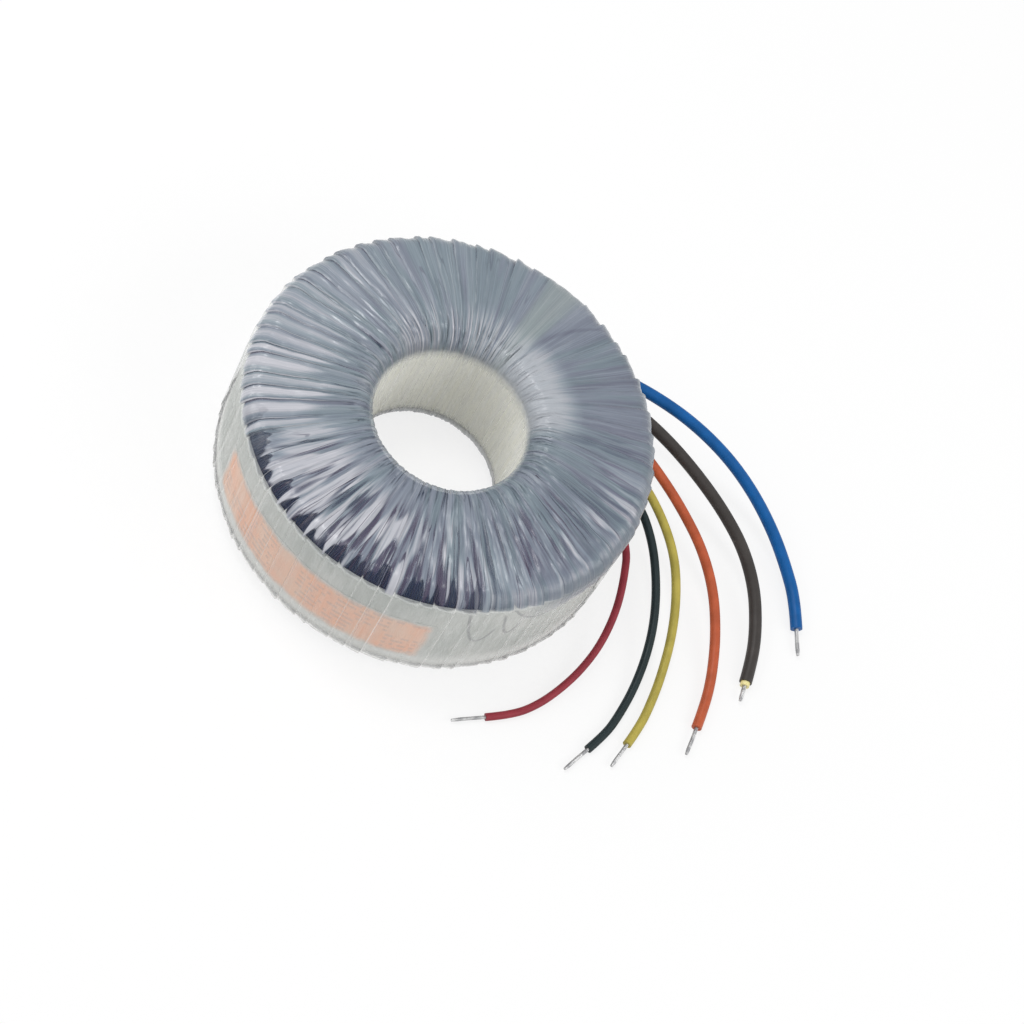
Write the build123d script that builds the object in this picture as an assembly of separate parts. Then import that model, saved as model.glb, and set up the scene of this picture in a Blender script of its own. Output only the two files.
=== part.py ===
from build123d import *
from collections import namedtuple
from math import atan2, cos, degrees, hypot, radians, sin, tan
import os

# Toroidal mains transformer: a strip-wound steel core, two insulating caps, a primary, two
# secondaries, and a radially wound film wrap that holds tape, label and leads in place.
# Lengths are in millimetres and angles in degrees. The ring is drawn about the origin, and
# every finished piece is lifted so that the part stands on z = 0 with +Z along its bore.

# Core of wound steel strip
core_inner_radius = 24.0
core_outer_radius = 41.9
core_height = 25.0
strip_thickness = 0.3

# Free space between one layer and the next
layer_gap = 0.05

# Every face is flat from the bore to this far past the core's inner edge, then falls to the rim
flat_face_overrun = 1.5
flat_face_radius = core_inner_radius + flat_face_overrun

# Moulded caps over the core, parted at mid height
cap_thickness = 0.8
cap_rim_round = 0.5
cap_parting = 0.4

# Thickness of each winding: in the bore, on the inner part of the faces, at the rim end of
# the faces and on the outer wall. The turns crowd in the bore and spread at the rim.
primary_bore = 2.1
primary_face = 1.5
primary_rim = 1.2
primary_wall = 1.1
inner_secondary_bore = 1.05
inner_secondary_face = 0.75
inner_secondary_rim = 0.6
inner_secondary_wall = 0.6
outer_secondary_bore = 1.0
outer_secondary_face = 0.8
outer_secondary_rim = 0.6
outer_secondary_wall = 1.1

# Insulation between primary and secondaries
interwinding_thickness = 0.35

# Tape round the outer wall, sleeve in the bore and paper label
band_thickness = 0.35
band_overrun = 0.65
liner_thickness = 0.35
liner_overrun = 0.2
label_thickness = 0.08
label_clearance = 0.01
label_height = 15.5
label_base = 7.0
label_start = 219.0
label_sweep = 79.0

# Film wrap: radial turns, each lapped over the one before it
film_thickness = 0.5
film_rim_thickness = 0.25
turn_count = 66
turn_drift = 1.1
turn_pace = 137.5
lap_rise = 0.4
lap_variation = 0.5
smooth_start = 72.0
smooth_end = 88.0

# Leads. Each route starts at its joint, this deep under the outside of the film.
root_depth = 2.6
passage_clearance = 0.15
bend_share = 0.45
tip_nose_round = 0.2
sleeve_diameter = 2.2
sleeve_length = 1.0

# Soldered joint of each lead, lying in a groove of the outer secondary
splice_diameter = 0.8
splice_sweep = 5.0
groove_clearance = 0.08
groove_end_clearance = 0.4

Section = namedtuple("Section", "inner outer crown rim inner_round outer_round")
Lead = namedtuple("Lead", "name diameter tip_diameter tip_length route")

# Routes run from inside the wrap, out through it and down to the surface that the part
# stands on.
leads = [
    Lead("blue", 2.9, 1.1, 6.9, [
        (16.6, 41.28, 17.2), (26.0, 44.8, 17.0), (36.0, 46.6, 15.9), (46.4, 46.8, 14.8), (57.1, 45.8, 12.4),
        (66.8, 43.4, 9.2), (75.8, 39.2, 6.0), (82.7, 34.2, 3.7), (88.5, 28.7, 2.1), (92.1, 22.5, 1.5)]),
    Lead("brown", 3.0, 1.1, 5.2, [
        (22.3, 38.5, 15.5), (32.3, 40.6, 15.2), (42.6, 39.4, 14.2), (53.0, 36.6, 12.8), (62.7, 33.7, 10.2),
        (71.5, 29.6, 7.6), (78.5, 23.5, 5.2), (83.4, 16.0, 3.2), (86.4, 8.8, 2.0), (87.7, 2.5, 1.6)]),
    Lead("orange", 2.4, 1.0, 7.5, [
        (27.9, 34.65, 14.2), (37.4, 34.0, 13.8), (46.7, 30.4, 12.8), (54.6, 26.6, 11.7), (63.3, 22.0, 9.3),
        (70.7, 15.5, 6.7), (76.2, 7.6, 4.1), (80.0, -0.7, 2.4), (82.1, -7.9, 1.5), (83.0, -14.6, 1.3)]),
    Lead("yellow", 2.1, 1.0, 7.1, [
        (33.3, 29.5, 13.0), (42.9, 27.1, 12.6), (51.8, 22.0, 11.2), (59.0, 16.1, 9.0), (64.1, 8.7, 6.5),
        (67.8, 0.5, 4.2), (70.3, -8.8, 2.3), (71.4, -16.0, 1.4), (71.8, -22.2, 1.15), (71.3, -27.9, 1.1)]),
    Lead("black", 2.0, 1.0, 8.0, [
        (36.55, 25.4, 12.0), (45.2, 22.2, 11.3), (52.6, 16.2, 9.7), (58.4, 8.6, 7.4), (62.6, 0.9, 5.0),
        (65.1, -6.8, 3.0), (66.4, -15.2, 1.7), (66.5, -22.9, 1.15), (66.0, -28.6, 1.05), (64.3, -34.2, 1.0)]),
    Lead("red", 1.8, 0.9, 8.3, [
        (41.4, 16.3, 11.6), (48.1, 11.4, 10.5), (51.7, 3.5, 8.6), (53.9, -3.3, 6.4), (54.8, -11.1, 4.1),
        (54.1, -18.3, 2.5), (52.4, -24.9, 1.6), (49.9, -31.3, 1.1), (46.3, -36.9, 0.95), (41.3, -41.2, 0.9)]),
]


def grown(section, bore, face, rim, wall):
    """Section of the ring after a layer of these thicknesses is laid over it."""
    return Section(
        section.inner - bore,
        section.outer + wall,
        section.crown + face,
        section.rim + rim,
        section.inner_round + min(bore, face),
        section.outer_round + min(wall, rim),
    )


def spaced(section):
    return grown(section, layer_gap, layer_gap, layer_gap, layer_gap)


def outer_line(section):
    """Open line over one side of the ring: face, rim, wall, rim, face."""
    points = [
        (flat_face_radius, section.crown),
        (section.outer, section.rim),
        (section.outer, -section.rim),
        (flat_face_radius, -section.crown),
    ]
    return Plane.XZ * FilletPolyline(*points, radius=section.outer_round)


def section_face(section):
    """Closed section of the ring, in the plane through its axis."""
    corners = [(section.inner, -section.crown), (section.inner, section.crown)]
    rounds = [section.inner_round, section.inner_round]
    if section.rim < section.crown:
        corners.append((flat_face_radius, section.crown))
        rounds.append(0)
    corners += [(section.outer, section.rim), (section.outer, -section.rim)]
    rounds += [section.outer_round, section.outer_round]
    if section.rim < section.crown:
        corners.append((flat_face_radius, -section.crown))
        rounds.append(0)
    return Plane.XZ * make_face(FilletPolyline(*corners, radius=rounds, close=True))


def ring(section):
    return revolve(section_face(section), Axis.Z)


def layer(outside, inside):
    return ring(outside) - ring(inside)


def sleeve(inner_radius, outer_radius, half_height):
    return Cylinder(outer_radius, 2 * half_height) - Cylinder(inner_radius, 2 * half_height)


# Sections of the ring from the core outwards, each one clear of the layer inside it
core_section = Section(core_inner_radius, core_outer_radius, core_height / 2, core_height / 2, 0, 0)
cap_seat = spaced(core_section)
cap_section = grown(cap_seat, cap_thickness, cap_thickness, cap_thickness, cap_thickness)
cap_section = cap_section._replace(outer_round=cap_rim_round)
primary_seat = spaced(cap_section)
primary_section = grown(primary_seat, primary_bore, primary_face, primary_rim, primary_wall)
interwinding_seat = spaced(primary_section)
interwinding_section = grown(
    interwinding_seat,
    interwinding_thickness, interwinding_thickness, interwinding_thickness, interwinding_thickness
)
inner_secondary_seat = spaced(interwinding_section)
inner_secondary_section = grown(
    inner_secondary_seat, inner_secondary_bore, inner_secondary_face, inner_secondary_rim, inner_secondary_wall
)
outer_secondary_seat = spaced(inner_secondary_section)
outer_secondary_section = grown(
    outer_secondary_seat, outer_secondary_bore, outer_secondary_face, outer_secondary_rim, outer_secondary_wall
)

# Tape and sleeve lie on the outer secondary, and the film goes over them all
band_inner_radius = outer_secondary_section.outer + layer_gap
band_outer_radius = band_inner_radius + band_thickness
label_inner_radius = band_outer_radius + label_clearance
label_outer_radius = label_inner_radius + label_thickness
liner_outer_radius = outer_secondary_section.inner - layer_gap
liner_inner_radius = liner_outer_radius - liner_thickness
film_seat = grown(
    outer_secondary_section,
    liner_thickness + 2 * layer_gap,
    layer_gap,
    layer_gap,
    label_outer_radius + label_clearance - outer_secondary_section.outer,
)
film_section = grown(film_seat, film_thickness, film_thickness, film_rim_thickness, film_thickness)
base_drop = film_section.crown
band_half_height = film_seat.rim - film_seat.outer_round + band_overrun
liner_half_height = film_seat.crown - film_seat.inner_round + liner_overrun


def strip_outline(radius):
    """One turn of the strip, as two half circles that close in by the strip's own thickness."""
    first_half = CenterArc((0, 0), radius, 0, 180)
    second_half = CenterArc((-strip_thickness / 2, 0), radius - strip_thickness / 2, 180, 180)
    strip_end = Line(second_half @ 1, first_half @ 0)
    return make_face([first_half, second_half, strip_end])


def core():
    coil = strip_outline(core_outer_radius) - strip_outline(core_inner_radius + strip_thickness)
    return extrude(coil, core_height / 2, both=True)


def core_cap(side):
    shell = layer(cap_section, cap_seat)
    half_height = cap_section.crown
    room = 2 * (cap_section.outer + cap_thickness)
    keeper = Pos(0, 0, side * (half_height + cap_parting / 2)) * Box(room, room, 2 * half_height)
    return shell & keeper


def turn_starts():
    """Angle of each turn's edge round the ring. The turns were wound by hand, so they drift."""
    pitch = 360 / turn_count
    return [turn * pitch + turn_drift * sin(radians(turn * turn_pace)) for turn in range(turn_count)]


def lap_of(turn):
    """Height by which a turn climbs over the lap beneath it. The closing turns are laid smooth."""
    if smooth_start < turn * 360 / turn_count < smooth_end:
        return 0
    return lap_rise * (1 - lap_variation * sin(radians(turn * turn_pace)) ** 2)


def lapped(rise):
    return film_section._replace(outer=film_section.outer + rise, rim=film_section.rim + rise)


def outer_wrap():
    starts = turn_starts()
    ends = starts[1:] + [starts[0] + 360]
    start_line = outer_line(film_section)
    faces = []
    for turn, (start, end) in enumerate(zip(starts, ends)):
        start_edges = (Rot(0, 0, start) * start_line).edges().sort_by(Axis.Z)
        end_edges = (Rot(0, 0, end) * outer_line(lapped(lap_of(turn)))).edges().sort_by(Axis.Z)
        for start_edge, end_edge in zip(start_edges, end_edges):
            faces.append(Face.make_surface_from_curves(start_edge, end_edge))
        if lap_of(turn) > 0:
            next_edges = (Rot(0, 0, end) * start_line).edges()
            faces.append(Face(Wire(list(next_edges) + list(end_edges))))
    for height in (film_section.crown, -film_section.crown):
        rim_points = [
            (flat_face_radius * cos(radians(start)), flat_face_radius * sin(radians(start)), height)
            for start in starts
        ]
        faces.append(Face(Wire.make_polygon(rim_points)))
    wrap = Solid(Shell(faces)) - Cylinder(film_section.inner, 3 * film_section.crown)
    bore_mouths = wrap.edges().filter_by(GeomType.CIRCLE).filter_by(is_bore_mouth)
    wrap = fillet(bore_mouths, film_section.inner_round)
    wrap -= ring(film_seat)
    for lead in leads:
        wrap -= passage(lead)
    return wrap


def is_bore_mouth(edge):
    return abs(edge.radius - film_section.inner) < layer_gap


def side_band():
    band = sleeve(band_inner_radius, band_outer_radius, band_half_height)
    for lead in leads:
        band -= passage(lead)
    return band


def label():
    width = label_outer_radius - label_inner_radius
    middle_height = label_base + label_height / 2 - base_drop
    strip = Pos(label_inner_radius + width / 2, middle_height) * Rectangle(width, label_height)
    return Rot(0, 0, label_start) * revolve(Plane.XZ * strip, Axis.Z, label_sweep)


def root_angle(lead):
    x, y = lead.route[0][:2]
    return degrees(atan2(y, x))


def splice_radius():
    return outer_secondary_section.outer - groove_clearance - splice_diameter / 2


def splice(lead):
    middle = Pos(splice_radius(), lead.route[0][2] - base_drop) * Circle(splice_diameter / 2)
    return Rot(0, 0, root_angle(lead) - splice_sweep / 2) * revolve(Plane.XZ * middle, Axis.Z, splice_sweep)


def groove(lead):
    floor = splice_radius() - splice_diameter / 2 - groove_clearance
    depth = 2 * (outer_secondary_section.outer - floor)
    width = splice_diameter + 2 * groove_clearance
    sweep_angle = splice_sweep + 2 * groove_end_clearance
    section = Pos(floor + depth / 2, lead.route[0][2] - base_drop) * Rectangle(depth, width)
    return Rot(0, 0, root_angle(lead) - sweep_angle / 2) * revolve(Plane.XZ * section, Axis.Z, sweep_angle)


def outer_secondary():
    winding = layer(outer_secondary_section, outer_secondary_seat)
    for lead in leads:
        winding -= groove(lead)
    return winding


def bend_radii(route):
    """Largest even bend at each point that the two runs beside it leave room for."""
    radii = []
    for before, corner, after in zip(route, route[1:], route[2:]):
        arriving = Vector(corner) - Vector(before)
        leaving = Vector(after) - Vector(corner)
        half_turn = radians(arriving.get_angle(leaving) / 2)
        radii.append(bend_share * min(arriving.length, leaving.length) / tan(half_turn))
    return radii


def laid(lead):
    """Route of a lead about the middle of the ring, moved out or in with the wall that it leaves."""
    root_x, root_y = lead.route[0][:2]
    shift = film_section.outer - root_depth - hypot(root_x, root_y)
    outwards = radians(root_angle(lead))
    return [
        (x + shift * cos(outwards), y + shift * sin(outwards), z - base_drop) for x, y, z in lead.route
    ]


def tube(path, diameter):
    return sweep(Plane(path @ 0, z_dir=path % 0) * Circle(diameter / 2), path=path)


def lead_path(lead):
    return FilletPolyline(*laid(lead), radius=bend_radii(lead.route))


def passage(lead):
    """Clearance hole along the first stretch of a lead, where it crosses tape and film."""
    first_stretch = FilletPolyline(*laid(lead)[:3], radius=bend_radii(lead.route)[:1])
    return tube(first_stretch, lead.diameter + 2 * passage_clearance)


def lead_tube(lead):
    whole = tube(lead_path(lead), lead.diameter)
    return whole - Cylinder(band_inner_radius, 2 * film_section.crown)


def end_plane(lead):
    path = lead_path(lead)
    return Plane(path @ 1, z_dir=path % 1)


def rod(diameter, start, length):
    return Pos(0, 0, start + length / 2) * Cylinder(diameter / 2, length)


def lead_tip(lead):
    tip = rod(lead.tip_diameter, 0, lead.tip_length)
    tip = fillet(tip.edges().sort_by(Axis.Z)[-1], tip_nose_round)
    return end_plane(lead) * tip


def lead_sleeve(lead):
    """Inner insulation that stands out of the lead's cut end, round its conductor."""
    bored = rod(sleeve_diameter, 0, sleeve_length) - rod(lead.tip_diameter, 0, sleeve_length)
    return end_plane(lead) * bored


def lifted(shape):
    return Pos(0, 0, base_drop) * shape


def parts():
    nodes = {
        "core": core(),
        "core_cap_upper": core_cap(1),
        "core_cap_lower": core_cap(-1),
        "primary_winding": layer(primary_section, primary_seat),
        "interwinding_wrap": layer(interwinding_section, interwinding_seat),
        "secondary_inner_winding": layer(inner_secondary_section, inner_secondary_seat),
        "secondary_outer_winding": outer_secondary(),
        "side_band": side_band(),
        "bore_liner": sleeve(liner_inner_radius, liner_outer_radius, liner_half_height),
        "label": label(),
        "outer_wrap": outer_wrap(),
    }
    for lead in leads:
        nodes[lead.name + "_splice"] = splice(lead)
        nodes[lead.name + "_lead"] = lead_tube(lead)
        nodes[lead.name + "_lead_tip"] = lead_tip(lead)
        if lead.name == "brown":
            nodes["brown_lead_sleeve"] = lead_sleeve(lead)
    return nodes


os.makedirs("parts", exist_ok=True)
for node, shape in parts().items():
    export_step(lifted(shape), "parts/" + node + ".step")
for lead in leads:
    whole = tube(lead_path(lead), lead.diameter)
    expected = lead_path(lead).length * Circle(lead.diameter / 2).area
    print(lead.name, "bend radii", [round(radius, 1) for radius in bend_radii(lead.route)])
    print(lead.name, "length", round(lead_path(lead).length, 1), "volume ratio", round(whole.volume / expected, 4))
print("overall", 2 * film_section.outer, "to", 2 * (film_section.outer + lap_rise), "high", 2 * film_section.crown)
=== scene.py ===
from math import cos, pi, radians, sin, tau
import bpy
from mathutils import Matrix, Vector


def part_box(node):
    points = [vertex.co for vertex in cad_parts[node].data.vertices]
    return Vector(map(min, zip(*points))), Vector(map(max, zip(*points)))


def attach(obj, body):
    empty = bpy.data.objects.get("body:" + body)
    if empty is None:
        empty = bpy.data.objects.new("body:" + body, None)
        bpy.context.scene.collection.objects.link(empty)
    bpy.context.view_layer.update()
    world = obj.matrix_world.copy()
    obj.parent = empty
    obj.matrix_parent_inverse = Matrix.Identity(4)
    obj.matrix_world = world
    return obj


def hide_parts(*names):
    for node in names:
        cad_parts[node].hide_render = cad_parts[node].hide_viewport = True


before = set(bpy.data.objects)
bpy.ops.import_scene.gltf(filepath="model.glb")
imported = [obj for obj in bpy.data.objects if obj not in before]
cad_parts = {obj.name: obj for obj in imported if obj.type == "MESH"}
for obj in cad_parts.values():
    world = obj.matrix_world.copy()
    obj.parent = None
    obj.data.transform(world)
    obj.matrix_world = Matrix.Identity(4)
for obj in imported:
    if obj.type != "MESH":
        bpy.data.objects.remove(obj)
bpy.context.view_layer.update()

scene = bpy.context.scene
scene.view_settings.view_transform = "Standard"
filmLow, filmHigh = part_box("outer_wrap")
middle = (filmLow.z + filmHigh.z) / 2                     # half height of the ring


# camera

view = {
    "elevation": radians(56.73),
    "roll": radians(-32.44),
    "target": Vector((0.02205, 0.00863, 0.0)),
    "distance": 0.6796,
    "lens": 104.25,
}


def makeCamera():
    back = Vector((0, -cos(view["elevation"]), sin(view["elevation"])))
    level = Vector((1, 0, 0))
    rise = Vector((0, sin(view["elevation"]), cos(view["elevation"])))
    right = level * cos(view["roll"]) - rise * sin(view["roll"])
    up = level * sin(view["roll"]) + rise * cos(view["roll"])
    camera = bpy.data.objects.new("camera", bpy.data.cameras.new("camera"))
    camera.data.lens = view["lens"]
    camera.matrix_world = Matrix((right, up, back)).transposed().to_4x4()
    camera.location = view["target"] + back * view["distance"]
    scene.collection.objects.link(camera)
    scene.camera = camera


makeCamera()
print("camera set")


# node trees: a signal is one output of a node, and sums of signals add Math nodes

class Signal:
    def __init__(self, sketch, node, output=0):
        self.sketch = sketch
        self.node = node
        self.socket = node.outputs[output]

    def of(self, output):
        return Signal(self.sketch, self.node, output)

    def maths(self, operation, *values):
        sockets = dict(enumerate(values))
        return self.sketch.add("ShaderNodeMath", {"operation": operation}, sockets)

    def __add__(self, other):
        return self.maths("ADD", self, other)

    def __radd__(self, other):
        return self.maths("ADD", other, self)

    def __sub__(self, other):
        return self.maths("SUBTRACT", self, other)

    def __rsub__(self, other):
        return self.maths("SUBTRACT", other, self)

    def __mul__(self, other):
        return self.maths("MULTIPLY", self, other)

    def __rmul__(self, other):
        return self.maths("MULTIPLY", other, self)

    def __truediv__(self, other):
        return self.maths("DIVIDE", self, other)

    def __rtruediv__(self, other):
        return self.maths("DIVIDE", other, self)

    def __mod__(self, other):
        return self.maths("FLOORED_MODULO", self, other)

    def __gt__(self, other):
        return self.maths("GREATER_THAN", self, other)

    def __lt__(self, other):
        return self.maths("LESS_THAN", self, other)

    def __pow__(self, other):
        return self.maths("POWER", self, other)

    def __abs__(self):
        return self.maths("ABSOLUTE", self)

    def floor(self):
        return self.maths("FLOOR", self)

    def round(self):
        return self.maths("ROUND", self)

    def sine(self):
        return self.maths("SINE", self)

    def cosine(self):
        return self.maths("COSINE", self)

    def angleOver(self, other):
        return self.maths("ARCTAN2", self, other)

    def least(self, other):
        return self.maths("MINIMUM", self, other)

    def most(self, other):
        return self.maths("MAXIMUM", self, other)

    def ramp(self, low, high, kind="SMOOTHSTEP"):         # 0 below low, 1 above high
        values = {"Value": self, "From Min": low, "From Max": high}
        return self.sketch.add("ShaderNodeMapRange", {"interpolation_type": kind}, values)

    def between(self, first, last):                       # from first at 0 to last at 1
        return first + (last - first) * self


class Sketch:
    def __init__(self, tree):
        self.tree = tree

    def feed(self, socket, value):                        # a link, or a value that stays
        if isinstance(value, Signal):
            self.tree.links.new(value.socket, socket)
        else:
            socket.default_value = value

    def add(self, kind, settings=None, sockets=None):
        node = self.tree.nodes.new(kind)
        for name, value in (settings or {}).items():
            if name == "stops":
                self.setStops(node.color_ramp, value)
            else:
                setattr(node, name, value)
        for name, value in (sockets or {}).items():
            self.feed(node.inputs[name], value)
        return Signal(self, node) if node.outputs else node

    def setStops(self, ramp, stops):                      # from 0 to 1
        ramp.elements[0].color = (*stops[0][1], 1)
        ramp.elements[-1].color = (*stops[-1][1], 1)
        for place, colour in stops[1:-1]:
            ramp.elements.new(place).color = (*colour, 1)

    def vector(self, x, y, z):
        return self.add("ShaderNodeCombineXYZ", None, {"X": x, "Y": y, "Z": z})

    def around(self, angle, rise):                        # place on a ring, where a pattern meets itself
        return self.vector(angle.cosine(), angle.sine(), rise)

    def vectors(self, operation, sockets):
        return self.add("ShaderNodeVectorMath", {"operation": operation}, sockets)

    def noise(self, place, scale, detail=2.0, roughness=0.5):
        values = {"Vector": place, "Scale": scale, "Detail": detail, "Roughness": roughness}
        return self.add("ShaderNodeTexNoise", None, values)

    def chance(self, number):                             # one value from 0 to 1 for each number
        return self.add("ShaderNodeTexWhiteNoise", {"noise_dimensions": "1D"}, {"W": number})

    def mixed(self, factor, first, last):                 # colour from first at 0 to last at 1
        mix = self.add("ShaderNodeMix", {"data_type": "RGBA"}).node
        for name, value in {"Factor": factor, "A": first, "B": last}.items():
            socket = next(s for s in mix.inputs if s.name == name and s.enabled)
            self.feed(socket, (*value, 1) if isinstance(value, tuple) else value)
        result = next(number for number, s in enumerate(mix.outputs) if s.enabled)
        return Signal(self, mix, result)

    def marked(self, mesh, name, value):                  # the mesh with a value kept at each point
        return self.add("GeometryNodeStoreNamedAttribute", {"data_type": "FLOAT", "domain": "POINT"}, {
            "Geometry": mesh, "Name": name, "Value": value})

    def attribute(self, name):
        return self.add("ShaderNodeAttribute", {"attribute_name": name}).of("Fac")

    def place(self):                                      # the piece's own coordinates
        return self.add("ShaderNodeTexCoord").of("Object")

    def parted(self, vector):
        node = self.add("ShaderNodeSeparateXYZ", None, {"Vector": vector})
        return node.of("X"), node.of("Y"), node.of("Z")

    def bump(self, height, depth):
        return self.add("ShaderNodeBump", None, {"Height": height, "Distance": depth, "Strength": 1.0})

    def seenDirectly(self):                               # 1 to the camera, in metal and through film
        ray = self.add("ShaderNodeLightPath")
        return ray.of("Is Camera Ray").most(ray.of("Is Glossy Ray")).most(ray.of("Is Transmission Ray"))


def makeFinish(name, draw):                               # a material drawn on a Principled shader
    material = bpy.data.materials.new(name)
    material.use_nodes = True
    sketch = Sketch(material.node_tree)
    shader = material.node_tree.nodes["Principled BSDF"]
    for socket, value in draw(sketch).items():
        sketch.feed(shader.inputs[socket], value)
    return material


def growMesh(name, sizes, draw, finish):                  # a mesh grown by a Geometry Nodes tree
    tree = bpy.data.node_groups.new(name + "Nodes", "GeometryNodeTree")
    tree.interface.new_socket("Mesh", in_out="OUTPUT", socket_type="NodeSocketGeometry")
    kinds = {int: "NodeSocketInt", float: "NodeSocketFloat", Vector: "NodeSocketVector"}
    identifiers = {}
    for key, value in sizes.items():
        socket = tree.interface.new_socket(key, in_out="INPUT", socket_type=kinds[type(value)])
        identifiers[key] = socket.identifier
    sketch = Sketch(tree)
    given = sketch.add("NodeGroupInput")
    drawn = draw(sketch, {key: given.of(key) for key in sizes})
    realised = sketch.add("GeometryNodeRealizeInstances", None, {"Geometry": drawn})
    dressed = sketch.add("GeometryNodeSetMaterial", None, {"Geometry": realised, "Material": finish})
    sketch.add("NodeGroupOutput", None, {"Mesh": dressed})
    carrier = bpy.data.objects.new(name + "Carrier", bpy.data.meshes.new(name + "Carrier"))
    scene.collection.objects.link(carrier)
    modifier = carrier.modifiers.new("nodes", "NODES")
    modifier.node_group = tree
    for key, value in sizes.items():
        modifier[identifiers[key]] = value[:] if isinstance(value, Vector) else value
    bpy.context.view_layer.update()
    depsgraph = bpy.context.evaluated_depsgraph_get()
    settled = carrier.evaluated_get(depsgraph)
    mesh = bpy.data.meshes.new_from_object(settled, preserve_all_data_layers=True, depsgraph=depsgraph)
    bpy.data.objects.remove(carrier)
    mesh.name = name
    piece = bpy.data.objects.new(name, mesh)
    scene.collection.objects.link(piece)
    return piece


def carry(piece, slot, *nodes):                           # rides on the one body
    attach(piece, "root")
    if nodes:
        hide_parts(*nodes)


# leads: six insulated wires, each with a twisted and tinned end

leads = {
    "blue": {
        "diameter": 0.0029, "length": 0.0866, "tipDiameter": 0.0011, "tipLength": 0.0069,
        "colour": (0.0030, 0.103, 0.340), "route": [
            (0.0166, 0.04128, 0.0172), (0.0260, 0.0448, 0.0170), (0.0360, 0.0466, 0.0159),
            (0.0464, 0.0468, 0.0148), (0.0571, 0.0458, 0.0124), (0.0668, 0.0434, 0.0092),
            (0.0758, 0.0392, 0.0060), (0.0827, 0.0342, 0.0037), (0.0885, 0.0287, 0.0021),
            (0.0921, 0.0225, 0.0015)]},
    "brown": {
        "diameter": 0.0030, "length": 0.0848, "tipDiameter": 0.0011, "tipLength": 0.0052,
        "colour": (0.050, 0.044, 0.041), "route": [
            (0.0223, 0.0385, 0.0155), (0.0323, 0.0406, 0.0152), (0.0426, 0.0394, 0.0142),
            (0.0530, 0.0366, 0.0128), (0.0627, 0.0337, 0.0102), (0.0715, 0.0296, 0.0076),
            (0.0785, 0.0235, 0.0052), (0.0834, 0.0160, 0.0032), (0.0864, 0.0088, 0.0020),
            (0.0877, 0.0025, 0.0016)]},
    "orange": {
        "diameter": 0.0024, "length": 0.0821, "tipDiameter": 0.0010, "tipLength": 0.0075,
        "colour": (0.520, 0.110, 0.045), "route": [
            (0.0279, 0.03465, 0.0142), (0.0374, 0.0340, 0.0138), (0.0467, 0.0304, 0.0128),
            (0.0546, 0.0266, 0.0117), (0.0633, 0.0220, 0.0093), (0.0707, 0.0155, 0.0067),
            (0.0762, 0.0076, 0.0041), (0.0800, -0.0007, 0.0024), (0.0821, -0.0079, 0.0015),
            (0.0830, -0.0146, 0.0013)]},
    "yellow": {
        "diameter": 0.0021, "length": 0.0773, "tipDiameter": 0.0010, "tipLength": 0.0071,
        "colour": (0.500, 0.415, 0.085), "route": [
            (0.0333, 0.0295, 0.0130), (0.0429, 0.0271, 0.0126), (0.0518, 0.0220, 0.0112),
            (0.0590, 0.0161, 0.0090), (0.0641, 0.0087, 0.0065), (0.0678, 0.0005, 0.0042),
            (0.0703, -0.0088, 0.0023), (0.0714, -0.0160, 0.0014), (0.0718, -0.0222, 0.00115),
            (0.0713, -0.0279, 0.0011)]},
    "black": {
        "diameter": 0.0020, "length": 0.0739, "tipDiameter": 0.0010, "tipLength": 0.0080,
        "colour": (0.014, 0.026, 0.029), "route": [
            (0.03655, 0.0254, 0.0120), (0.0452, 0.0222, 0.0113), (0.0526, 0.0162, 0.0097),
            (0.0584, 0.0086, 0.0074), (0.0626, 0.0009, 0.0050), (0.0651, -0.0068, 0.0030),
            (0.0664, -0.0152, 0.0017), (0.0665, -0.0229, 0.00115), (0.0660, -0.0286, 0.00105),
            (0.0643, -0.0342, 0.0010)]},
    "red": {
        "diameter": 0.0018, "length": 0.0670, "tipDiameter": 0.0009, "tipLength": 0.0083,
        "colour": (0.325, 0.038, 0.055), "route": [
            (0.0414, 0.0163, 0.0116), (0.0481, 0.0114, 0.0105), (0.0517, 0.0035, 0.0086),
            (0.0539, -0.0033, 0.0064), (0.0548, -0.0111, 0.0041), (0.0541, -0.0183, 0.0025),
            (0.0524, -0.0249, 0.0016), (0.0499, -0.0313, 0.0011), (0.0463, -0.0369, 0.00095),
            (0.0413, -0.0412, 0.0009)]},
}

strandSizes = {
    "strands": 7, "twist": 2.6, "pointsAlong": 26, "wander": 0.00022,
}
strandPacking = {
    "across": 6.2,                                        # strand radii over the whole tip
    "apart": 1.9,                                         # strand radii from the middle strand to the others
}


def insulationFinish(name, colour):
    def draw(sketch):
        place = sketch.place()
        mottle = sketch.noise(place, 260.0, 3.0).ramp(0.3, 0.7)
        rubbed = sketch.noise(place, 900.0, 2.0)
        darker = tuple(0.80 * part for part in colour)
        return {
            "Base Color": sketch.mixed(mottle, darker, colour),
            "Roughness": mottle.between(0.48, 0.40),
            "Specular IOR Level": 0.22,
            "Normal": sketch.bump(rubbed, 0.00002),
        }
    return makeFinish(name, draw)


def tinFinish(sketch):
    place = sketch.place()
    lumps = sketch.noise(place, 1500.0, 3.0)
    dull = sketch.noise(place, 500.0, 2.0).ramp(0.35, 0.7)
    return {
        "Base Color": sketch.mixed(dull, (0.50, 0.50, 0.50), (0.28, 0.28, 0.29)),
        "Metallic": 1.0,
        "Roughness": dull.between(0.32, 0.50),
        "Normal": sketch.bump(lumps, 0.00003),
    }


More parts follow.
